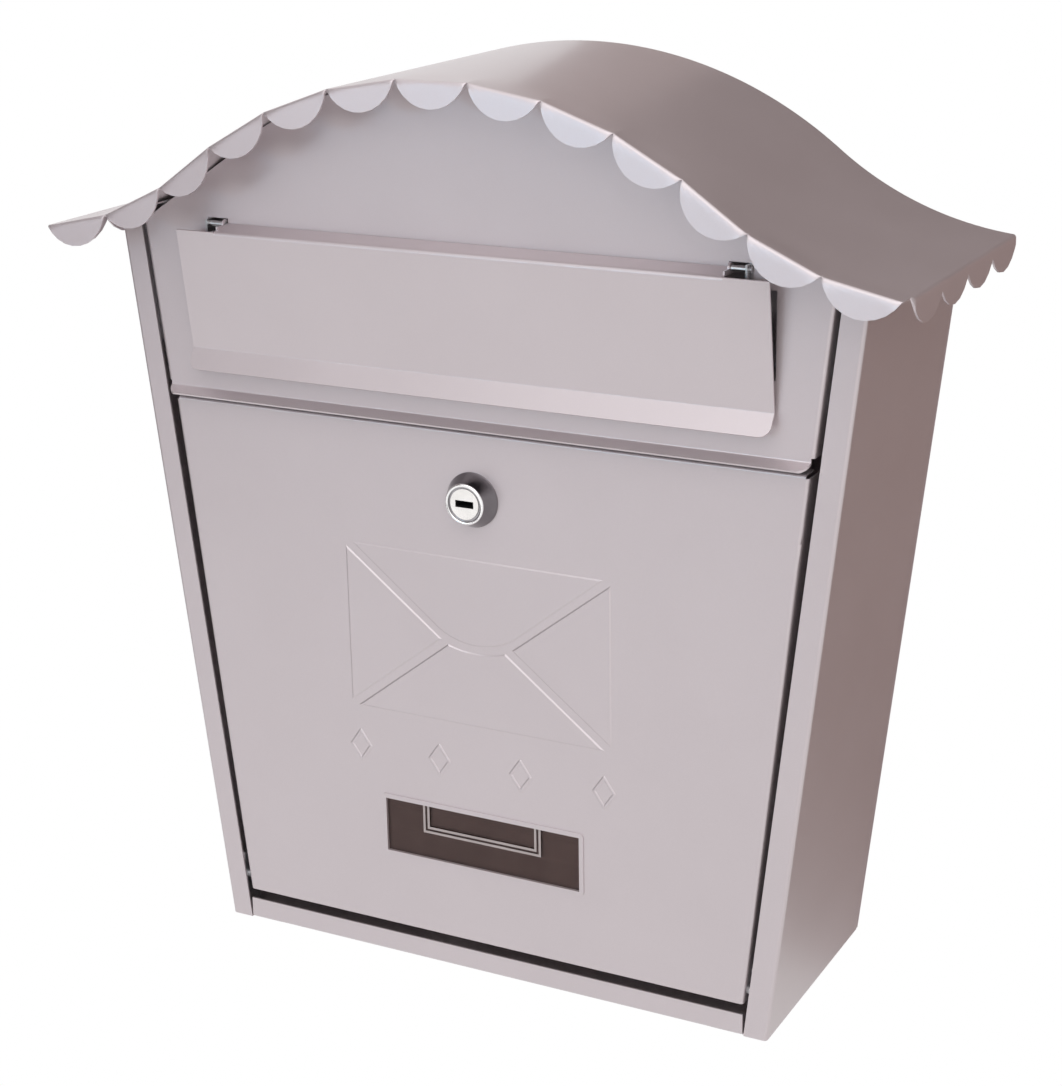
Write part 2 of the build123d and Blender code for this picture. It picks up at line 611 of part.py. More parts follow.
def name_window():
    """Clear moulded pane behind the window opening, with a grooved card pocket on its face."""
    half_width = WINDOW_HALF_WIDTH + PANE_MARGIN
    pane = block(-half_width, half_width, SHEET, SHEET + PANE_THICKNESS,
                 WINDOW_LOW - PANE_MARGIN, WINDOW_HIGH + PANE_MARGIN)
    high = WINDOW_HIGH - FIT_GAP

    def pocket(inset, front, back):
        half = POCKET_HALF_WIDTH - inset
        low = POCKET_LOW + inset
        return block(-half, half, front, back, low, high)

    groove_inset = (POCKET_WALL - POCKET_GROOVE) / 2
    walls = pocket(0, 0, SHEET) - pocket(POCKET_WALL, 0, SHEET)
    groove = pocket(groove_inset, 0, SHEET / 2) - pocket(groove_inset + POCKET_GROOVE, 0, SHEET / 2)
    return pane + (walls - groove)


def window_clips():
    """Four bent clips on the back of the door that hold the pane."""
    edge = (WINDOW_HIGH - WINDOW_LOW) / 2 + PANE_MARGIN
    over = SHEET + PANE_THICKNESS
    step = edge + FIT_GAP
    section = Polygon((SHEET, step), (SHEET, edge + CLIP_FOOT), (2 * SHEET, edge + CLIP_FOOT),
                      (2 * SHEET, step + SHEET), (over + SHEET, step + SHEET),
                      (over + SHEET, edge - CLIP_GRIP), (over, edge - CLIP_GRIP), (over, step), align=None)
    clips = []
    for x in (-CLIP_SPACING / 2, CLIP_SPACING / 2):
        clip = across(section, x - CLIP_WIDTH / 2, x + CLIP_WIDTH / 2)
        clips.append(Pos(0, 0, WINDOW_MIDDLE) * clip)
        clips.append(Pos(0, 0, WINDOW_MIDDLE) * mirror(clip, about=Plane.XY))
    return clips


def door_hinge_pins():
    """Two pins in the door's side flanges."""
    inner = DOOR_HINGE_HALF - SHEET - PIN_INSIDE
    outer = HINGE_EAR_X + HINGE_EAR_THICKNESS + EDGE_GAP
    pin = rod_along_x(PIN_RADIUS, inner, outer, HINGE_Y, HINGE_HEIGHT)
    return [pin, mirror(pin, about=Plane.YZ)]


def door_hinge_bracket():
    """Right ear on the floor, behind the strip, that carries a hinge pin."""
    front = SHEET + FIT_GAP
    ear = block(HINGE_EAR_X, HINGE_EAR_X + HINGE_EAR_THICKNESS, front, HINGE_EAR_DEPTH, SHEET, HINGE_EAR_TOP)
    ear += block(HINGE_EAR_X, BASE_HALF_WIDTH - SHEET - FIT_GAP, front, HINGE_EAR_DEPTH, SHEET, 2 * SHEET)
    return ear - rod_along_x(PIN_RADIUS + PIN_CLEARANCE, 0, FAR, HINGE_Y, HINGE_HEIGHT)


# Cam lock

CAM_FRONT = BARREL_LENGTH + CAM_GAP


def lock_housing():
    """Collar and barrel of the lock, bored for the plug."""
    cone = Cone(COLLAR_BASE_RADIUS, COLLAR_FACE_RADIUS, COLLAR_LENGTH,
                align=(Align.CENTER, Align.CENTER, Align.MIN))
    collar = Pos(0, 0, LOCK_HEIGHT) * Rot(90, 0, 0) * cone
    body = collar + rod_along_y(BARREL_RADIUS, -SHEET, BARREL_LENGTH, 0, LOCK_HEIGHT)
    return body - rod_along_y(PLUG_RADIUS + PLUG_CLEARANCE, -FAR, FAR, 0, LOCK_HEIGHT)


def lock_washer():
    """Washer between the door and the nut."""
    washer = rod_along_y(WASHER_RADIUS, SHEET, SHEET + WASHER_THICKNESS, 0, LOCK_HEIGHT)
    return washer - rod_along_y(BARREL_RADIUS + LOCK_HOLE_CLEARANCE, -FAR, FAR, 0, LOCK_HEIGHT)


def lock_nut():
    """Six sided nut on the barrel."""
    front = SHEET + WASHER_THICKNESS
    outline = Pos(0, LOCK_HEIGHT) * RegularPolygon(NUT_FLATS / math.sqrt(3), 6)
    nut = upright(outline, front, front + NUT_THICKNESS)
    return nut - rod_along_y(BARREL_RADIUS + SCREW_CLEARANCE, -FAR, FAR, 0, LOCK_HEIGHT)


def lock_plug():
    """Turning plug with its keyway, drilled at the back for the cam screw."""
    front = PLUG_RECESS - COLLAR_LENGTH
    plug = rod_along_y(PLUG_RADIUS, front, CAM_FRONT, 0, LOCK_HEIGHT)
    plug -= block(-KEYWAY_WIDTH / 2, KEYWAY_WIDTH / 2, front, front + KEYWAY_DEPTH,
                  LOCK_HEIGHT - KEYWAY_HEIGHT / 2, LOCK_HEIGHT + KEYWAY_HEIGHT / 2)
    hole_radius = CAM_SCREW_RADIUS + SCREW_CLEARANCE
    return plug - rod_along_y(hole_radius, CAM_FRONT - CAM_SCREW_DEPTH - FIT_GAP, FAR, 0, LOCK_HEIGHT)


def lock_cam():
    """Flat cam on the plug's end, pointing left while the lock is open."""
    reach = CAM_LENGTH - CAM_WIDTH / 2
    outline = Pos(-reach / 2, LOCK_HEIGHT) * SlotCenterToCenter(reach, CAM_WIDTH)
    cam = upright(outline, CAM_FRONT, CAM_FRONT + CAM_THICKNESS)
    return cam - rod_along_y(CAM_SCREW_RADIUS + SCREW_CLEARANCE, -FAR, FAR, 0, LOCK_HEIGHT)


def cam_screw():
    """Screw that holds the cam on the plug."""
    seat = CAM_FRONT + CAM_THICKNESS
    screw = rod_along_y(CAM_SCREW_RADIUS, CAM_FRONT - CAM_SCREW_DEPTH, seat, 0, LOCK_HEIGHT)
    head = rod_along_y(CAM_SCREW_HEAD_RADIUS, seat, seat + CAM_SCREW_HEAD, 0, LOCK_HEIGHT)
    slot = block(-FAR, FAR, seat + CAM_SCREW_HEAD / 2, FAR, LOCK_HEIGHT - SHEET / 2, LOCK_HEIGHT + SHEET / 2)
    return screw + (head - slot)


def lock_keeper():
    """Stepped strip behind the upper panel that the cam turns up behind."""
    lip_y = CAM_FRONT - KEEPER_CAM_GAP - SHEET
    cam_top = LOCK_HEIGHT + CAM_LENGTH
    web = cam_top + KEEPER_TOP_GAP
    section = sheet_face([(lip_y, cam_top - KEEPER_OVERLAP), (lip_y, web), (PANEL_BACK, web),
                          (PANEL_BACK, web + KEEPER_FOOT)])
    return across(section, -KEEPER_HALF_WIDTH, KEEPER_HALF_WIDTH)


# Assembly

def paired(name, part):
    """The right piece and its mirror image on the left."""
    return {"right_" + name: part, "left_" + name: mirror(part, about=Plane.YZ)}


nodes = {
    "back_panel": back_panel(),
    **paired("side_panel", side_panel()),
    "floor_panel": floor_panel(),
    "upper_front_panel": upper_front_panel(),
    **paired("panel_bracket", panel_bracket()),
    "roof_sheet": roof_sheet(),
    **paired("roof_bracket", roof_bracket()),
    "letter_flap": letter_flap(),
    "flap_hinge_pins": Compound(children=flap_hinge_pins()),
    **paired("flap_ear", flap_ear()),
    "door_panel": door_panel(),
    "name_window": name_window(),
    "window_clips": Compound(children=window_clips()),
    "door_hinge_pins": Compound(children=door_hinge_pins()),
    **paired("door_hinge_bracket", door_hinge_bracket()),
    "lock_housing": lock_housing(),
    "lock_washer": lock_washer(),
    "lock_nut": lock_nut(),
    "lock_plug": lock_plug(),
    "lock_cam": lock_cam(),
    "cam_screw": cam_screw(),
    "lock_keeper": lock_keeper(),
}

to_wall = Location((0, -DEPTH, -HOLE_CENTRE_HEIGHT))
os.makedirs("parts", exist_ok=True)
for name, shape in nodes.items():
    solids = [to_wall * solid for solid in shape.solids()]
    export_step(solids[0] if len(solids) == 1 else Compound(children=solids), f"parts/{name}.step")
    print(name, len(solids), round(sum(solid.volume for solid in solids), 1))
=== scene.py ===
import math
from collections import namedtuple

import bmesh
import bpy
from mathutils import Matrix, Vector


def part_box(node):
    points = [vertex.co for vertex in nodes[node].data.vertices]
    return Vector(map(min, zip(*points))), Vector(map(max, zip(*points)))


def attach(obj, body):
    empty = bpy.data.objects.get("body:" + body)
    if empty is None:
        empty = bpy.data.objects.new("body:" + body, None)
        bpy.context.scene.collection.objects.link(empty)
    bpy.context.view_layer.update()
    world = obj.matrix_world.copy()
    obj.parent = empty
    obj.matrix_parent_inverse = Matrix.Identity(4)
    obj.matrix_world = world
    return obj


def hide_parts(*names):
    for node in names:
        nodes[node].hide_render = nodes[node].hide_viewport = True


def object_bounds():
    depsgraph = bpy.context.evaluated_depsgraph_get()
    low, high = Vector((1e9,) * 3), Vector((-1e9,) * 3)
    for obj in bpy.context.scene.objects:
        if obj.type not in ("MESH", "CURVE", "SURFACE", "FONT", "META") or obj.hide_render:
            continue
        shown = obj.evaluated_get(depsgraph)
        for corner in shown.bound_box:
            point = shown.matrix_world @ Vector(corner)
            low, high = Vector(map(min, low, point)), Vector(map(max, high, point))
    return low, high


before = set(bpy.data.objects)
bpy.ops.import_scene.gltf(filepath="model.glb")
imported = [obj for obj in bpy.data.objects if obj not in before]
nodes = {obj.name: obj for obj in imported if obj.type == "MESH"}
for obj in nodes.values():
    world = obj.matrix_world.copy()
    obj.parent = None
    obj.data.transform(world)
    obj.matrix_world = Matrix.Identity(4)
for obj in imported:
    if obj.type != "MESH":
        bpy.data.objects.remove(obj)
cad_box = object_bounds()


# Box: a back panel, two sides with narrow front strips, and a floor with a turned up lip.
# Each is a folded steel sheet, spot welded to its neighbours and sprayed with warm silver paint.
# The same paint covers the door, the letter flap, the upper panel and the roof.

class Wire:
    """An output socket of a node; arithmetic on it adds Math nodes."""

    def __init__(self, shading, socket):
        self.shading = shading
        self.socket = socket

    def math(self, operation, left, right):
        return self.shading.node("ShaderNodeMath", {"operation": operation}, {0: left, 1: right})

    def __add__(self, other):
        return self.math("ADD", self, other)

    __radd__ = __add__

    def __sub__(self, other):
        return self.math("SUBTRACT", self, other)

    def __rsub__(self, other):
        return self.math("SUBTRACT", other, self)

    def __mul__(self, other):
        return self.math("MULTIPLY", self, other)

    __rmul__ = __mul__


class Shading:
    """The nodes of a finish or of the studio's surroundings."""

    def __init__(self, tree):
        self.tree = tree

    def node(self, kind, settings, sockets, output=0):
        node = self.tree.nodes.new(kind)
        for key, value in settings.items():
            setattr(node, key, value)
        for key, value in sockets.items():
            self.join(value, node.inputs[key])
        return Wire(self, node.outputs[output])

    def join(self, value, socket):
        if isinstance(value, Wire):
            self.tree.links.new(value.socket, socket)
        else:
            socket.default_value = value

    def first(self, kind):
        """The node of a kind that Blender put there."""
        return next(node for node in self.tree.nodes if node.type == kind)


class Finish(Shading):
    """A procedural surface round one Principled shader; plain values go on the shader's own sockets."""

    def __init__(self, name, **constants):
        self.material = bpy.data.materials.new(name)
        self.material.use_nodes = True
        super().__init__(self.material.node_tree)
        self.shader = self.first("BSDF_PRINCIPLED")
        for socket, value in constants.items():
            self.feed(socket.replace("_", " "), value)

    def feed(self, socket, value):
        self.join(value, self.shader.inputs[socket])

    def noise(self, scale, detail=2.0):
        place = self.node("ShaderNodeTexCoord", {}, {}, "Object")
        return self.node("ShaderNodeTexNoise", {}, {"Vector": place, "Scale": scale, "Detail": detail})

    def blend(self, amount, low, high):
        return self.node("ShaderNodeMix", {"data_type": "RGBA"}, {"Factor": amount, 6: low, 7: high}, 2)

    def relief(self, height, strength, distance):
        sockets = {"Height": height, "Strength": strength, "Distance": distance}
        self.feed("Normal", self.node("ShaderNodeBump", {}, sockets))

    def depth(self, comparison, limit):
        """One where a point's distance towards the wall compares so with a limit, and nought elsewhere."""
        place = self.node("ShaderNodeTexCoord", {}, {}, "Object")
        back = self.node("ShaderNodeSeparateXYZ", {}, {0: place}, "Y")
        return back.math(comparison, back, limit)

    def surface(self):
        return Wire(self, self.shader.outputs[0])

    def finish_with(self, surface):
        self.join(surface, self.first("OUTPUT_MATERIAL").inputs["Surface"])


FLAKES_PER_METRE = 2400.0
CLOUDS_PER_METRE = 22.0
PEEL_PER_METRE = 420.0
PEEL_HEIGHT = 0.0001
PAINT_DARK = (0.635, 0.58, 0.6, 1.0)
PAINT_LIGHT = (0.715, 0.657, 0.678, 1.0)


def silver_paint():
    """Satin metallic paint with fine flakes, faint cloudiness and the orange peel of a sprayed coat."""
    paint = Finish("silver_paint", Metallic=0.5, Coat_Weight=0.3, Coat_Roughness=0.2)
    flakes = paint.noise(FLAKES_PER_METRE, 1.0)
    clouds = paint.noise(CLOUDS_PER_METRE, 3.0)
    paint.feed("Base Color", paint.blend(clouds * 0.6 + flakes * 0.4, PAINT_DARK, PAINT_LIGHT))
    paint.feed("Roughness", 0.34 + clouds * 0.06 + flakes * 0.06)
    paint.relief(flakes + paint.noise(PEEL_PER_METRE) * 2.0, 0.06, PEEL_HEIGHT)
    return paint.material


def dress(material, *names):
    """Gives CAD nodes a finish."""
    for name in names:
        mesh = nodes[name].data
        mesh.materials.clear()
        mesh.materials.append(material)


paint = silver_paint()
dress(paint, "back_panel", "left_side_panel", "right_side_panel", "floor_panel")


# Brackets, ears, pins and the keeper: small pieces cut or bent from zinc plated steel.
# They tie the upper panel and the roof to the sides and carry the flap and the door.

GRAIN_PER_METRE = 900.0
ZINC_DARK = (0.5, 0.5, 0.51, 1.0)
ZINC_LIGHT = (0.68, 0.68, 0.69, 1.0)


def plated_steel():
    steel = Finish("plated_steel", Metallic=1.0)
    grain = steel.noise(GRAIN_PER_METRE)
    steel.feed("Base Color", steel.blend(grain, ZINC_DARK, ZINC_LIGHT))
    steel.feed("Roughness", 0.28 + grain * 0.14)
    return steel.material


plated = plated_steel()
for side in ("left", "right"):
    dress(plated, side + "_panel_bracket", side + "_roof_bracket")
    dress(plated, side + "_flap_ear", side + "_door_hinge_bracket")
dress(plated, "lock_keeper", "flap_hinge_pins", "door_hinge_pins")


# Upper front panel and letter flap: folded from the painted sheet.
# The panel is welded to its brackets, and the flap hangs over the letter slot on two pins.

dress(paint, "upper_front_panel", "letter_flap")


# Door: a painted sheet folded back round its edges, with an envelope and four lozenges pressed into it.
# It swings down on two pins in its lower corners.

dress(paint, "door_panel")


# Name window: a moulded pane of smoky clear plastic, held behind the door by four clips.
# The two lands of its grooved card pocket stand up to the door's face, and are rubbed pale.

MM = 0.001
LAND_DEPTH = 0.2 * MM
HAZE_PER_METRE = 90.0
PANE_DARK = (0.42, 0.31, 0.285, 1.0)
PANE_LIGHT = (0.55, 0.42, 0.39, 1.0)
PANE_SHEEN = (1.0, 0.74, 0.7, 1.0)
RUBBED_DARK = (0.5, 0.46, 0.45, 1.0)
RUBBED_LIGHT = (0.62, 0.58, 0.57, 1.0)


def clear_plastic(pane_front):
    plastic = Finish("clear_plastic", Transmission_Weight=0.975, IOR=1.49, Specular_Tint=PANE_SHEEN)
    haze = plastic.noise(HAZE_PER_METRE, 3.0)
    plastic.feed("Base Color", plastic.blend(haze, PANE_DARK, PANE_LIGHT))
    plastic.feed("Roughness", 0.04 + haze * 0.06)
    rubbed = plastic.node("ShaderNodeBsdfPrincipled", {}, {
        "Base Color": plastic.blend(haze, RUBBED_DARK, RUBBED_LIGHT),
        "Roughness": 0.4 + haze * 0.1,
    })
    land = plastic.depth("LESS_THAN", pane_front + LAND_DEPTH)
    plastic.finish_with(plastic.node("ShaderNodeMixShader", {}, {0: land, 1: plastic.surface(), 2: rubbed}))
    return plastic.material


def front_of(name):
    """The Y of a CAD node's front."""
    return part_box(name)[0][1]


dress(clear_plastic(front_of("name_window")), "name_window")
dress(plated, "window_clips")


# Cam lock: a dark chrome collar round a bright plug with a keyway, clamped through the door by a nut.
# Its cam turns behind the keeper.

WEAR_PER_METRE = 160.0
COLLAR_DARK = (0.2, 0.19, 0.2, 1.0)
COLLAR_LIGHT = (0.28, 0.27, 0.28, 1.0)
RING_DARK = (0.88, 0.87, 0.87, 1.0)
RING_LIGHT = (0.95, 0.94, 0.94, 1.0)


def polished(name, low, high, roughness):
    chrome = Finish(name, Metallic=1.0)
    haze = chrome.noise(WEAR_PER_METRE, 3.0)
    chrome.feed("Base Color", chrome.blend(haze, low, high))
    chrome.feed("Roughness", roughness + haze * 0.06)
    return chrome.material


KEYWAY_SHADE = 0.4 * MM
PLUG_DARK = (0.6, 0.58, 0.56, 1.0)
PLUG_LIGHT = (0.9, 0.88, 0.86, 1.0)
KEYWAY_PAINTED_SHADE = (0.012, 0.011, 0.011, 1.0)


def plug_with_painted_shade(face):
    """Bright chrome on the plug's face; the keyway behind it is painted black as the shade that falls inside
    it.
    """
    chrome = Finish("plug_chrome")
    haze = chrome.noise(WEAR_PER_METRE, 3.0)
    bright = chrome.blend(haze, PLUG_DARK, PLUG_LIGHT)
    # Painted shade: past a small depth behind the face, the keyway is coloured black, dull and not metallic.
    shaded_keyway = chrome.depth("GREATER_THAN", face + KEYWAY_SHADE)
    chrome.feed("Base Color", chrome.blend(shaded_keyway, bright, KEYWAY_PAINTED_SHADE))
    chrome.feed("Metallic", 1.0 - shaded_keyway)
    chrome.feed("Roughness", 0.18 + haze * 0.06 + shaded_keyway * 0.4)
    return chrome.material


# The collar's profile in millimetres: radii, and distances to the front of the door's face.
COLLAR_PROFILE = (
    (6.31, -17.0), (7.6, -17.0), (7.6, 0.0), (11.25, 0.0), (11.25, 0.5), (11.0, 0.95), (8.45, 6.8),
    (8.3, 7.2), (7.95, 7.45), (7.5, 7.45), (7.2, 7.25), (7.1, 6.9), (7.05, 6.5), (6.31, 6.5),
)
BRIGHT_RING = range(6, 12)
COLLAR_LENGTH = 7.5
COLLAR_TURNS = 96
COLLAR_CREASE = math.radians(35.0)


def placed(name, shape):
    """Turns a finished shape into a piece of the scene."""
    mesh = bpy.data.meshes.new(name)
    shape.to_mesh(mesh)
    shape.free()
    piece = bpy.data.objects.new(name, mesh)
    bpy.context.scene.collection.objects.link(piece)
    return piece


def turned_collar(centre):
    """The collar's profile turned about a line along Y through a point on the door's face."""
    collar = bmesh.new()
    lines = []
    for turn in range(COLLAR_TURNS):
        angle = 2 * math.pi * turn / COLLAR_TURNS
        direction = Vector((math.cos(angle), 0.0, math.sin(angle)))
        line = []
        for radius, front in COLLAR_PROFILE:
            line.append(collar.verts.new(centre + direction * radius * MM + Vector((0.0, -front * MM, 0.0))))
        lines.append(line)
    count = len(COLLAR_PROFILE)
    for turn in range(COLLAR_TURNS):
        line = lines[turn]
        after = lines[(turn + 1) % COLLAR_TURNS]
        for index in range(count):
            over = (index + 1) % count
            face = collar.faces.new((line[index], after[index], after[over], line[over]))
            face.material_index = 1 if index in BRIGHT_RING else 0
            face.smooth = True
    bmesh.ops.recalc_face_normals(collar, faces=collar.faces)
    for edge in collar.edges:
        edge.smooth = edge.calc_face_angle() < COLLAR_CREASE
    return collar


lock_low, lock_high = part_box("lock_housing")
lock_middle = (Vector(lock_low) + Vector(lock_high)) / 2
lock_seat = Vector((lock_middle.x, lock_low[1] + COLLAR_LENGTH * MM, lock_middle.z))
collar = placed("lock_collar", turned_collar(lock_seat))
collar.data.materials.append(polished("collar_chrome", COLLAR_DARK, COLLAR_LIGHT, 0.1))
collar.data.materials.append(polished("collar_ring", RING_DARK, RING_LIGHT, 0.16))
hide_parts("lock_housing")
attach(collar, "door")
dress(plug_with_painted_shade(front_of("lock_plug")), "lock_plug")
dress(plated, "lock_washer", "lock_nut", "lock_cam", "cam_screw")


# Roof: one painted sheet bent over the box, cut to scallops along its front and both ends.
# The scallops are folded down along straight lines, so the front edge runs in flats between the notches.
# Sizes are in millimetres, from the wall and from the middle of the wall holes.

roof_low, roof_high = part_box("roof_sheet")
SHEET = 0.8
CROWN_RADIUS = 178.02
CROWN_CENTRE = roof_high[2] / MM - CROWN_RADIUS
EAVE_RADIUS = 138.0
EAVE_TURN = math.radians(38.0)
EAVE_TIP = math.radians(5.4)
EAVE_X = (CROWN_RADIUS + EAVE_RADIUS) * math.sin(EAVE_TURN)
EAVE_CENTRE = CROWN_CENTRE + (CROWN_RADIUS + EAVE_RADIUS) * math.cos(EAVE_TURN)
FOLD_RADIUS = 1.3
FOLD_SETBACK = 2.4
FOLD_START = -roof_low[1] / MM - FOLD_SETBACK
FOLD_SHARES = (0.03, 0.06, 0.1, 0.14, 0.19, 0.35, 0.6, 0.8, 1.0)
LEAST_FOLD = 0.01
FLATS_DEPTH = 14.0
FRONT_SCALLOPS = 13
FRONT_DROP = 10.3
FRONT_TURN = math.radians(84.0)
FRONT_STEPS = 12
END_SCALLOPS = 4
END_PITCH = 30.0
END_BAND = 4.6
END_DROP = 7.0
END_TURN = math.pi / 2 - EAVE_TIP
END_STEPS = 8
PLAIN_STEPS = 6
ROOF_CREASE = math.radians(50.0)

Column = namedtuple("Column", "curve chord share flat")
Row = namedtuple("Row", "depth end_length")


def roof_point(run):
    """A point (X, Z) of the roof's upper face at a distance along it from the crest."""
    side = math.copysign(1.0, run)
    distance = abs(run)
    crown_run = CROWN_RADIUS * EAVE_TURN
    if distance <= crown_run:
        angle = distance / CROWN_RADIUS
        return Vector((side * CROWN_RADIUS * math.sin(angle), CROWN_CENTRE + CROWN_RADIUS * math.cos(angle)))
    angle = EAVE_TURN - (distance - crown_run) / EAVE_RADIUS
    across = EAVE_X - EAVE_RADIUS * math.sin(angle)
    return Vector((side * across, EAVE_CENTRE - EAVE_RADIUS * math.cos(angle)))


def eased_shares(count):
    """Shares of a scallop's width, closer together near its steep ends."""
    return [0.5 - 0.5 * math.cos(math.pi * index / count) for index in range(count + 1)]


def scallop_length(share, width, drop):
    """How far the sheet hangs past the fold line at a share of a round scallop's width."""
    length = drop + (math.pi / 2 - 1) * FOLD_RADIUS
    radius = (width * width / 4 + length * length) / (2 * length)
    across = (share - 0.5) * width
    return math.sqrt(radius * radius - across * across) - (radius - length)


def folded(length, turn):
    """Travel outwards and downwards of sheet of a length that is folded through an angle from the level."""
    angle = min(length / FOLD_RADIUS, turn)
    straight = length - angle * FOLD_RADIUS
    out = FOLD_RADIUS * math.sin(angle) + straight * math.cos(turn)
    down = FOLD_RADIUS * (1 - math.cos(angle)) + straight * math.sin(turn)
    return out, down


def smooth_step(value):
    value = min(max(value, 0.0), 1.0)
    return value * value * (3 - 2 * value)


def roof_columns():
    """Lines from the wall to the front: their points (X, Z) on the curve and on the flat of their scallop."""
    half_run = CROWN_RADIUS * EAVE_TURN + EAVE_RADIUS * (EAVE_TURN - EAVE_TIP) - FOLD_RADIUS
    pitch = 2 * half_run / FRONT_SCALLOPS
    columns = []
    for scallop in range(FRONT_SCALLOPS):
        first = roof_point(scallop * pitch - half_run)
        last = roof_point((scallop + 1) * pitch - half_run)
        shares = eased_shares(FRONT_STEPS)
        if scallop < FRONT_SCALLOPS - 1:
            shares = shares[:-1]
        for share in shares:
            curve = roof_point((scallop + share) * pitch - half_run)
            columns.append(Column(curve, first.lerp(last, share), share, last - first))
    return columns


def roof_rows():
    """Lines from end to end: their distances from the wall, and how much sheet hangs at the ends of each."""
    rows = []
    for scallop in range(END_SCALLOPS):
        for share in eased_shares(END_STEPS)[:-1]:
            length = END_BAND + scallop_length(share, END_PITCH, END_DROP)
            rows.append(Row((scallop + share) * END_PITCH, length))
    plain_edge = END_SCALLOPS * END_PITCH
    rows.append(Row(plain_edge, END_BAND))
    for step in range(1, PLAIN_STEPS + 1):
        rows.append(Row(plain_edge + (FOLD_START - plain_edge) * step / PLAIN_STEPS, 0.0))
    return rows


def formed_roof():
    """The roof's upper face as a grid, with folded scallops on three of its edges."""
    columns = roof_columns()
    rows = roof_rows()
    sheet = bmesh.new()

    def quads(lines):
        """Joins neighbouring lines of corners, and leaves out corners that are the same."""
        for left, right in zip(lines, lines[1:]):
            for index in range(len(left) - 1):
                corners = [left[index], left[index + 1], right[index + 1], right[index]]
                ring = [corner for at, corner in enumerate(corners) if corner is not corners[at - 1]]
                if len(ring) > 2:
                    sheet.faces.new(ring)

    def fold_line(start, outward, downward, length, turn):
        """Corners along a fold from its start, or the start again and again where no sheet hangs."""
        if length < LEAST_FOLD:
            return [start] * (len(FOLD_SHARES) + 1)
        line = [start]
        for share in FOLD_SHARES:
            out, down = folded(length * share, turn)
            line.append(sheet.verts.new(start.co + (outward * out + downward * down) * MM))
        return line

    grid = []
    for column in columns:
        line = []
        for row in rows:
            flatness = smooth_step((row.depth - FOLD_START + FLATS_DEPTH) / FLATS_DEPTH)
            place = column.curve.lerp(column.chord, flatness)
            line.append(sheet.verts.new((place.x * MM, -row.depth * MM, place.y * MM)))
        grid.append(line)
    quads(grid)

    forward = Vector((0.0, -1.0, 0.0))
    fronts = []
    for line, column in zip(grid, columns):
        inward = Vector((column.flat.y, 0.0, -column.flat.x)).normalized()
        length = scallop_length(column.share, column.flat.length, FRONT_DROP)
        fronts.append(fold_line(line[-1], forward, inward, length, FRONT_TURN))
    quads(fronts)

    for side, line in ((-1, grid[0]), (1, grid[-1])):
        outward = Vector((side * math.cos(EAVE_TIP), 0.0, -math.sin(EAVE_TIP)))
        under = Vector((-side * math.sin(EAVE_TIP), 0.0, -math.cos(EAVE_TIP)))
        ends = []
        for corner, row in zip(line, rows):
            ends.append(fold_line(corner, outward, under, row.end_length, END_TURN))
        quads(ends if side < 0 else list(reversed(ends)))
    return sheet


roof = placed("roof_formed", formed_roof())
roof.data.shade_smooth()
roof.data.materials.append(paint)
thickness = roof.modifiers.new("thickness", "SOLIDIFY")
thickness.thickness = SHEET * MM
thickness.offset = -1.0
crease = roof.modifiers.new("crease", "EDGE_SPLIT")
crease.split_angle = ROOF_CREASE
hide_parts("roof_sheet")
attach(roof, "box")


# Stage: pale paper far under the box and plain white all round, as for a catalogue picture.
# Soft lamps stand in front, and paper cards outside the frame are mirrored in the paint.

FLOOR_DROP = 0.55
FLOOR_SIZE = 12.0
FLOOR_GREY = (0.68, 0.68, 0.68, 1.0)
PAPER_ROUGHNESS = 0.9
AMBIENT = (0.52, 0.43, 0.405, 1.0)
WHITE = (1.0, 1.0, 1.0, 1.0)


def white_to_camera(shading, surface, white):
    """Shows plain white to the camera, to mirrors and through glass, and keeps the surface for other rays."""
    camera, mirror, glass = (shading.node("ShaderNodeLightPath", {}, {}, "Is " + ray + " Ray")
                             for ray in ("Camera", "Glossy", "Transmission"))
    seen = camera.math("MAXIMUM", camera.math("MAXIMUM", camera, mirror), glass)
    return shading.node("ShaderNodeMixShader", {}, {0: seen, 1: surface, 2: white})


bpy.ops.mesh.primitive_plane_add(size=FLOOR_SIZE, location=(0.0, 0.0, cad_box[0][2] - FLOOR_DROP))
floor = bpy.context.object
floor.name = "studio_floor"
floor_paper = Finish("floor_paper", Base_Color=FLOOR_GREY, Roughness=PAPER_ROUGHNESS)
floor_white = floor_paper.node("ShaderNodeEmission", {}, {"Color": WHITE})
floor_paper.finish_with(white_to_camera(floor_paper, floor_paper.surface(), floor_white))
floor.data.materials.append(floor_paper.material)

world = bpy.data.worlds.new("studio")
world.use_nodes = True
bpy.context.scene.world = world
studio = Shading(world.node_tree)
ambient = studio.first("BACKGROUND")
studio.join(AMBIENT, ambient.inputs["Color"])
backdrop = studio.node("ShaderNodeBackground", {}, {"Color": WHITE})
surroundings = white_to_camera(studio, Wire(studio, ambient.outputs[0]), backdrop)
studio.join(surroundings, studio.first("OUTPUT_WORLD").inputs["Surface"])


def card(name, place, width, height, facing, colour):
    """An upright sheet of paper that the camera doesn't see, turned about the upright by an angle."""
    upright = (math.radians(90.0), 0.0, math.radians(facing))
    bpy.ops.mesh.primitive_plane_add(size=1.0, location=place, rotation=upright)
    sheet = bpy.context.object
    sheet.name = name
    sheet.scale = (width, height, 1.0)
    sheet.visible_camera = False
    paper = Finish(name + "_paper", Base_Color=colour, Roughness=PAPER_ROUGHNESS)
    sheet.data.materials.append(paper.material)


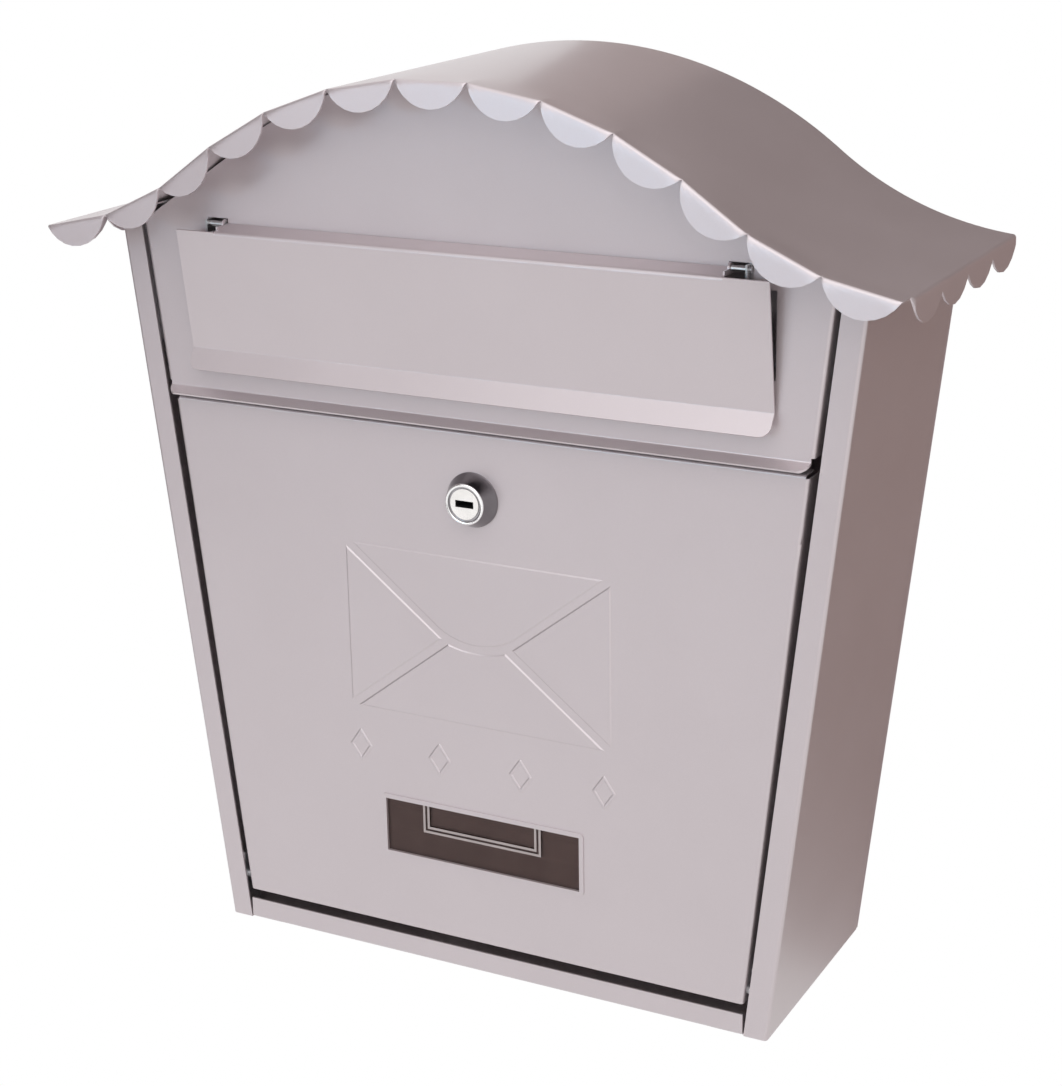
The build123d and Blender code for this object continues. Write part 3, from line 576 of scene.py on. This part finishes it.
# The three cards behind shade the side, the roof's right slope and its crest.
# The left and front ones shade the upper panel and the left ends of the flap and the roof.
card("back_card", (0.8, 0.6, -0.16), 2.2, 0.84, 0.0, (0.4, 0.3, 0.27, 1.0))
card("roof_card", (0.9, 0.6, 0.76), 2.0, 1.0, 0.0, (0.12, 0.095, 0.09, 1.0))
card("crest_card", (-0.2, 0.6, 0.76), 0.2, 1.0, 0.0, (0.5, 0.44, 0.42, 1.0))
card("left_card", (-1.7, -0.9, 0.65), 2.8, 2.7, 90.0, (0.14, 0.13, 0.14, 1.0))
card("front_card", (-0.9, -2.8, -0.4), 3.4, 0.62, 0.0, (0.12, 0.115, 0.12, 1.0))

LAMPS_FACE = Vector((0.0, -0.1, 0.0))
LAMP_WHITE = (1.0, 0.99, 1.0)
LAMP_BLUE = (0.3, 0.7, 1.0)


def softbox(name, place, width, height, power, colour):
    """A soft lamp that faces the middle of the box."""
    lamp = bpy.data.lights.new(name, "AREA")
    lamp.shape = "RECTANGLE"
    lamp.size = width
    lamp.size_y = height
    lamp.energy = power
    lamp.color = colour
    holder = bpy.data.objects.new(name, lamp)
    holder.location = place
    holder.rotation_euler = (LAMPS_FACE - Vector(place)).to_track_quat("-Z", "Y").to_euler()
    bpy.context.scene.collection.objects.link(holder)


softbox("key", (0.4, -2.0, 2.2), 2.8, 2.8, 26.0, LAMP_WHITE)
softbox("fill", (0.5, -2.4, 0.5), 4.0, 4.0, 10.5, LAMP_WHITE)
softbox("low_fill", (-1.1, -1.9, -0.6), 1.4, 0.2, 0.6, LAMP_WHITE)
softbox("left_fill", (-1.6, -1.9, 0.3), 1.0, 1.0, 3.2, LAMP_WHITE)
softbox("glint", (-0.75, -2.4, 0.45), 1.0, 0.2, 3.0, LAMP_BLUE)

# The view is the photograph's: its place, its turn about the upright, its downward tilt and its small roll.
VIEW_PLACE = (0.4214, -0.8586, 0.3143)
VIEW_TURN = math.radians(27.75)
VIEW_TILT = math.radians(18.53)
VIEW_ROLL = math.radians(-0.99)
VIEW_LENS = 76.44
VIEW_SENSOR = 36.0
camera = bpy.data.cameras.new("view")
camera.sensor_fit = "VERTICAL"
camera.sensor_height = VIEW_SENSOR
camera.lens = VIEW_LENS
viewer = bpy.data.objects.new("view", camera)
turn = Matrix.Rotation(VIEW_TURN, 4, "Z")
tilt = Matrix.Rotation(math.pi / 2 - VIEW_TILT, 4, "X")
roll = Matrix.Rotation(VIEW_ROLL, 4, "Z")
viewer.matrix_world = Matrix.Translation(VIEW_PLACE) @ turn @ tilt @ roll
bpy.context.scene.collection.objects.link(viewer)
bpy.context.scene.camera = viewer
bpy.context.scene.view_settings.view_transform = "Standard"
